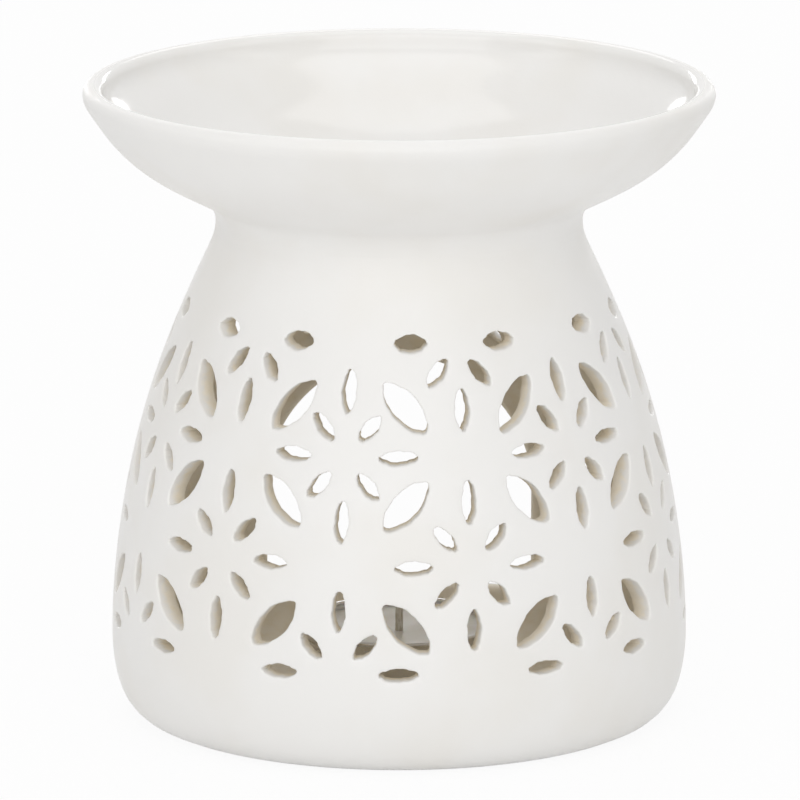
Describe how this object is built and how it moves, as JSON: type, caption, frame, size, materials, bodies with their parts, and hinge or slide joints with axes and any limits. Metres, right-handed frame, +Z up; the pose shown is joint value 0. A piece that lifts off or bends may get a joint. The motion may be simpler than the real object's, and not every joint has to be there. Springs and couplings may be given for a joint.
{
  "type": "essential oil burner",
  "caption": "Round ceramic oil burner: a pierced bell-shaped stand with an arched back opening for a tealight and a shallow oil dish on its neck.",
  "frame": {"origin": "on the table, under the middle of the round foot", "axes": "+Z up through the middle of the dish; -Y is the pictured front and +Y faces out of the arched opening for the tealight; +X is to the right seen from the front"},
  "size_m": [0.12, 0.12, 0.122],
  "materials": {
    "satin_glaze": "satin white glaze over a cream body, unglazed foot",
    "gloss_glaze": "white glaze, glossy inside the dish and satin outside",
    "tealight_tin": "thin bright pressed metal with a rolled rim",
    "candle_wax": "smooth translucent ivory paraffin wax",
    "tin_plate": "dull tinned steel",
    "cotton_wick": "waxed braided cotton, unburnt"
  },
  "bodies": {
    "burner": {"pierced_body": "satin_glaze", "oil_dish": "gloss_glaze"},
    "tealight": {"tealight_cup": "tealight_tin", "tealight_wax": "candle_wax", "wick_sustainer": "tin_plate", "wick": "cotton_wick"}
  },
  "joints": [
    {"name": "tealight_slide", "type": "slide", "parent": "burner", "child": "tealight", "axis": [0, 0.9613, 0.2756], "range_m": [0, 0.08]}
  ]
}
